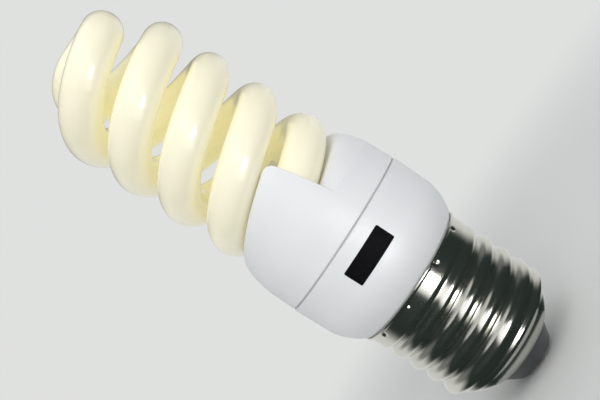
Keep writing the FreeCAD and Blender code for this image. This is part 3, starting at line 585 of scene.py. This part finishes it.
def opaque_glass(colours):
    """Dark moulded glass of the cap's end, with paler swirls."""
    finish = Finish("opaque_glass", roughness=0.3, Coat_Weight=0.3, Coat_Roughness=0.15)
    swirl = finish.noise(finish.place(), scale=260.0, detail=5.0, roughness=0.6)
    pale = [min(1.0, 1.8 * c + 0.01) for c in colours.cap_glass]
    tone = finish.blend(swirl.between(0.35, 0.75), colours.cap_glass, pale)
    finish.set(Base_Color=tone, Roughness=0.26 + 0.2 * swirl)
    return finish.set(Normal=finish.soft_bump(swirl, distance=0.03 * MM, strength=0.5))


def printed_plate(colours):
    """Bare black plate with a light satin grain."""
    finish = Finish("printed_plate", roughness=0.5, Specular_IOR_Level=0.03)
    grain = finish.noise(finish.place(), scale=2600.0, detail=3.0)
    pale = [c + 0.004 for c in colours.plate]
    tone = finish.blend(grain.between(0.3, 0.8), colours.plate, pale)
    finish.set(Base_Color=tone, Roughness=0.45 + 0.2 * grain)
    return finish.set(Normal=finish.bump(grain, distance=0.003 * MM, strength=0.5))


def plain_finish(name, tone, roughness, metallic, scale, spread):
    """One colour with a cloudy, slightly rough surface, for the contact and the pieces inside."""
    finish = Finish(name, roughness=roughness, metallic=metallic)
    cloud = finish.noise(finish.place(), scale=scale, detail=4.0, roughness=0.6)
    mottled = finish.blend(cloud.between(0.3, 0.7), tone, shade(1 - spread, tone))
    finish.set(Base_Color=mottled, Roughness=roughness + 0.2 * (cloud - 0.5))
    return finish.set(Normal=finish.bump(cloud, distance=0.01 * MM, strength=0.4))


def wound_wire(name, tone, wire):
    """Enamelled wire laid in close turns, with painted shade in the grooves between them."""
    finish = Finish(name, roughness=0.3, metallic=0.85)
    place = finish.place()
    turns = (finish.height(place) * (2 * math.pi / wire)).sine()
    cloud = finish.noise(place, scale=500.0, detail=3.0)
    # Painted shade: darker between the turns, where the wires shade one another
    ridge = (turns * 0.5 + 0.5).between(0.0, 0.5)
    laid = finish.blend(ridge * (0.8 + 0.4 * cloud), shade(0.45, tone), tone)
    finish.set(Base_Color=laid, Roughness=0.25 + 0.2 * cloud)
    return finish.set(Normal=finish.bump(ridge, distance=0.05 * MM, strength=0.8))


# Finishes inside the housing: colour, roughness, metallic, scale and spread of the clouds, and the nodes
BALLAST = {
    "lamp_cement": ((0.74, 0.72, 0.66), 0.8, 0.0, 900.0, 0.10, ("tube_cement",)),
    "tinned_wire": ((0.62, 0.61, 0.58), 0.3, 1.0, 1500.0, 0.20,
                    ("filament_leads", "wrap_pins", "side_supply_lead")),
    "board_laminate": ((0.42, 0.27, 0.09), 0.6, 0.0, 700.0, 0.18, ("ballast_board",)),
    "can_sleeve": ((0.012, 0.016, 0.05), 0.25, 0.0, 300.0, 0.30, ("bulk_capacitor",)),
    "ferrite": ((0.035, 0.035, 0.038), 0.6, 0.0, 1800.0, 0.35, ("choke_core", "drive_toroid")),
    "bobbin_nylon": ((0.02, 0.02, 0.02), 0.45, 0.0, 900.0, 0.30, ("choke_bobbin",)),
    "black_resin": ((0.018, 0.018, 0.018), 0.5, 0.0, 1200.0, 0.35,
                    ("switching_transistors", "rectifier_diodes")),
    "painted_body": ((0.46, 0.32, 0.14), 0.4, 0.0, 900.0, 0.15,
                     ("resistors", "start_diac", "fusible_resistor")),
    "dipped_coat": ((0.26, 0.05, 0.015), 0.25, 0.0, 400.0, 0.20,
                    ("resonant_capacitor", "blocking_capacitor")),
}
# Wire thickness of each wound node
WOUND = {"choke_winding": 0.25 * MM, "toroid_windings": 0.4 * MM}


# Stage

FLOOR_REACH = 3.0
FLOOR_DROP = 0.02 * MM
SHADOW_REACH, SHADOW_END = 0.06, 0.20
MIDDLE = (0.0, 0.0, 0.055)
COIL_AIM = (0.0, 0.0, 0.08)

# Area lights: place, aim, size, watts and tint
LIGHTS = {
    "key": ((0.02, -0.40, 0.40), MIDDLE, (0.34, 0.34), 1.27, (1.0, 0.99, 0.97)),
    "fill": ((0.36, -0.26, 0.10), MIDDLE, (0.30, 0.40), 0.40, (0.96, 0.98, 1.0)),
    "fill_left": ((-0.30, -0.32, 0.06), MIDDLE, (0.30, 0.40), 0.37, (0.97, 0.98, 1.0)),
    "back": ((0.10, 0.42, 0.20), MIDDLE, (0.40, 0.30), 0.55, (1.0, 1.0, 1.0)),
    "window": ((0.02, -0.10, 0.004), COIL_AIM, (0.03, 0.07), 0.08, (1.0, 1.0, 1.0)),
}

# Cards that only reflections see: a ring on the floor and an upright wall round it
CARD_START = 9.5 * MM
CARD_REACH = 0.34
CARD_TOP = 0.65
CARD_LIFT = 0.2 * MM
CARD_STRENGTH = 1.3
CARD_DARK = (0.020, 0.028, 0.025)
CARD_BRIGHT = (1.0, 1.0, 1.0)
DIM_SHARE = 0.3
DIM_LOW, DIM_HIGH = 0.10, 0.20
BRIGHT_NEAR, BRIGHT_FAR = 0.045, 0.075
# Degrees from straight ahead
BRIGHT_TURN = 4.0
BRIGHT_OUTER, BRIGHT_INNER = 19, 6
DARK_OUTER, DARK_INNER = 124, 90


# Operators

class LAMP_OT_glass_coil(bpy.types.Operator):
    """Finishes the glass coil"""

    bl_idname = "lamp.glass_coil"
    bl_label = "Glass Coil"

    def execute(self, context):
        dress(coated_glass(context.scene.lamp_finish), "spiral_tube")
        return {"FINISHED"}


class LAMP_OT_housing(bpy.types.Operator):
    """Finishes the moulded cover and housing"""

    bl_idname = "lamp.housing"
    bl_label = "Housing"

    def execute(self, context):
        dress(moulded_plastic(context.scene.lamp_finish), "upper_cover", "lower_housing")
        return {"FINISHED"}


class LAMP_OT_marking_plate(bpy.types.Operator):
    """Adds the bare plate on the housing"""

    bl_idname = "lamp.marking_plate"
    bl_label = "Marking Plate"

    def execute(self, context):
        points, faces = plate_points(context.scene.lamp_plate), plate_faces()
        made = piece("marking_plate", points, faces, printed_plate(context.scene.lamp_finish), "black_resin")
        made.data.shade_flat()
        return {"FINISHED"}


class LAMP_OT_screw_shell(bpy.types.Operator):
    """Builds the screw shell with its rolled thread and punch marks"""

    bl_idname = "lamp.screw_shell"
    bl_label = "Screw Shell"

    def execute(self, context):
        points, faces = shell_mesh(context.scene.lamp_cap)
        finish = plated_metal(context.scene.lamp_finish)
        piece("threaded_shell", points, faces, finish, "plated_shell", "screw_shell")
        return {"FINISHED"}


class LAMP_OT_cap_end(bpy.types.Operator):
    """Builds the glass insulator and finishes the centre contact"""

    bl_idname = "lamp.cap_end"
    bl_label = "Cap End"

    def execute(self, context):
        colours = context.scene.lamp_finish
        points, faces = insulator_mesh(context.scene.lamp_insulator, context.scene.lamp_cap)
        finish = opaque_glass(colours)
        piece("glass_insulator", points, faces, finish, "cap_glass", "cap_insulator")
        metal = plain_finish("contact_metal", colours.contact, roughness=0.28, metallic=1.0, scale=900.0,
                             spread=0.25)
        dress(metal, "centre_contact")
        return {"FINISHED"}


class LAMP_OT_ballast(bpy.types.Operator):
    """Finishes the pieces inside the housing"""

    bl_idname = "lamp.ballast"
    bl_label = "Ballast"

    def execute(self, context):
        for name, (tone, roughness, metallic, scale, spread, names) in BALLAST.items():
            dress(plain_finish(name, tone, roughness, metallic, scale, spread), *names)
        for name, wire in WOUND.items():
            dress(wound_wire(name, context.scene.lamp_finish.copper, wire), name)
        return {"FINISHED"}


class LAMP_OT_stage(bpy.types.Operator):
    """Sets up the floor, the lights and the camera"""

    bl_idname = "lamp.stage"
    bl_label = "Stage"

    def execute(self, context):
        settings = context.scene.lamp_stage
        context.scene.view_settings.view_transform = "Standard"
        self.backdrop(context.scene, settings)
        self.floor(settings)
        self.lights()
        self.surround(settings)
        self.camera(context.scene, settings)
        return {"FINISHED"}

    def backdrop(self, scene, settings):
        """World that shows the backdrop's colour and lights the lamp with soft light."""
        world = bpy.data.worlds.new("studio")
        scene.world = world
        world.use_nodes = True
        shading = Shading(world.node_tree)
        plain = world.node_tree.nodes["Background"]
        shading.feed(plain.inputs["Color"], settings.backdrop)
        inputs = {"Color": settings.ambient, "Strength": settings.ambient_strength}
        soft = shading.node("ShaderNodeBackground", {}, inputs)
        shading.show("World Output", shading.seen(), soft, Value(shading, plain.outputs[0]))

    def floor(self, settings):
        """Floor that takes the lamp's shadow near it and runs into the background further off."""
        finish = Finish("floor", roughness=0.9, Specular_IOR_Level=0.0)
        finish.set(Base_Color=settings.backdrop)
        far = finish.from_axis(finish.place()).between(SHADOW_REACH, SHADOW_END)
        plain = finish.node("ShaderNodeEmission", {}, {"Color": settings.backdrop})
        lit = Value(finish, finish.shader.outputs[0])
        finish.show("Material Output", far * finish.seen(), lit, plain)
        level = LAMP_FOOT - FLOOR_DROP
        corners = [(-1, -1), (1, -1), (1, 1), (-1, 1)]
        points = [(x * FLOOR_REACH, y * FLOOR_REACH, level) for x, y in corners]
        made = mesh_object("floor", points, [(0, 1, 2, 3)], finish)

    def lights(self):
        """The key light shows in no reflection, and the window lights no matt surface."""
        made = {name: self.soft_light(name, *row) for name, row in LIGHTS.items()}
        made["key"].visible_glossy = False
        made["window"].visible_diffuse = False

    def soft_light(self, name, place, aim, size, power, tint):
        light = bpy.data.lights.new(name, "AREA")
        light.shape = "RECTANGLE"
        light.size, light.size_y = size
        light.energy = power
        light.color = tint
        made = bpy.data.objects.new(name, light)
        bpy.context.scene.collection.objects.link(made)
        made.location = place
        made.rotation_euler = (Vector(aim) - Vector(place)).to_track_quat("-Z", "Y").to_euler()
        return made

    def surround(self, settings):
        """Cards to reflect: a bright strip ahead, dark round the front, pale behind and dim above."""
        level = LAMP_FOOT + CARD_LIFT
        card = [(CARD_START, level), (CARD_REACH, level), (CARD_REACH, CARD_TOP)]
        points = [on_ring(r, turn, z) for turn in round_turn(CARD_SEGMENTS) for r, z in card]
        faces = []
        for i in range(CARD_SEGMENTS):
            here, after = len(card) * i, len(card) * ((i + 1) % CARD_SEGMENTS)
            faces += [(here + j, here + j + 1, after + j + 1, after + j) for j in range(len(card) - 1)]
        made = mesh_object("surround", points, faces, self.card_finish(settings))
        made.visible_camera = False
        made.visible_diffuse = False
        made.visible_shadow = False
        made.visible_transmission = False

    def card_finish(self, settings):
        finish = Finish("surround", roughness=1.0, Specular_IOR_Level=0.0, Emission_Strength=CARD_STRENGTH)
        place = finish.place()
        x, y, z = finish.parts(place)
        far = finish.from_axis(place)
        turn = math.radians(BRIGHT_TURN)
        ahead = (x * math.sin(turn) - y * math.cos(turn)) / far

        def within(outer, inner):
            """1 inside the inner angle from straight ahead, 0 outside the outer one."""
            return ahead.between(math.cos(math.radians(outer)), math.cos(math.radians(inner)))

        bright = within(BRIGHT_OUTER, BRIGHT_INNER) * far.between(BRIGHT_NEAR, BRIGHT_FAR)
        pale = shade(1 / CARD_STRENGTH, settings.backdrop)
        behind = finish.blend(z.between(DIM_LOW, DIM_HIGH), pale, shade(DIM_SHARE, pale))
        tone = finish.blend(within(DARK_OUTER, DARK_INNER), behind, CARD_DARK)
        tone = finish.blend(bright, tone, CARD_BRIGHT)
        return finish.set(Base_Color=(0.0, 0.0, 0.0), Emission_Color=tone)

    def camera(self, scene, settings):
        yaw, pitch, roll = settings.yaw, settings.pitch, settings.roll
        level = math.cos(pitch)
        ahead = Vector((math.sin(yaw) * level, math.cos(yaw) * level, math.sin(pitch)))
        right = Vector((math.cos(yaw), -math.sin(yaw), 0.0))
        up = right.cross(ahead)
        across = right * math.cos(roll) + up * math.sin(roll)
        over = up * math.cos(roll) - right * math.sin(roll)
        data = bpy.data.cameras.new("camera")
        data.sensor_width = 36.0
        data.sensor_fit = "HORIZONTAL"
        data.lens = settings.lens
        data.clip_start = 1.0 * MM
        made = bpy.data.objects.new("camera", data)
        scene.collection.objects.link(made)
        turn = Matrix((across, over, -ahead)).transposed()
        made.matrix_world = Matrix.Translation(Vector(settings.camera)) @ turn.to_4x4()
        scene.camera = made


class LAMP_PT_sidebar(bpy.types.Panel):
    """Lists the lamp's pieces and settings"""

    bl_idname = "LAMP_PT_sidebar"
    bl_label = "Spiral Lamp"
    bl_space_type = "VIEW_3D"
    bl_region_type = "UI"
    bl_category = "Lamp"

    def draw(self, context):
        for operator in OPERATORS:
            self.layout.operator(operator.bl_idname)
        for name, group in SETTINGS.items():
            box = self.layout.box()
            for key in group.__annotations__:
                box.prop(getattr(context.scene, name), key)


SETTINGS = {"lamp_cap": CapSettings, "lamp_insulator": InsulatorSettings, "lamp_plate": PlateSettings,
            "lamp_finish": FinishSettings, "lamp_stage": StageSettings}
OPERATORS = (LAMP_OT_glass_coil, LAMP_OT_housing, LAMP_OT_marking_plate, LAMP_OT_screw_shell,
             LAMP_OT_cap_end, LAMP_OT_ballast, LAMP_OT_stage)
CLASSES = (*SETTINGS.values(), *OPERATORS, LAMP_PT_sidebar)


def register():
    for item in CLASSES:
        bpy.utils.register_class(item)
    for name, group in SETTINGS.items():
        setattr(bpy.types.Scene, name, bpy.props.PointerProperty(type=group))


def unregister():
    for name in SETTINGS:
        delattr(bpy.types.Scene, name)
    for item in reversed(CLASSES):
        bpy.utils.unregister_class(item)


def main():
    register()
    bpy.ops.lamp.glass_coil()
    bpy.ops.lamp.housing()
    bpy.ops.lamp.marking_plate()
    bpy.ops.lamp.screw_shell()
    bpy.ops.lamp.cap_end()
    bpy.ops.lamp.ballast()
    bpy.ops.lamp.stage()


if __name__ == "__main__":
    main()
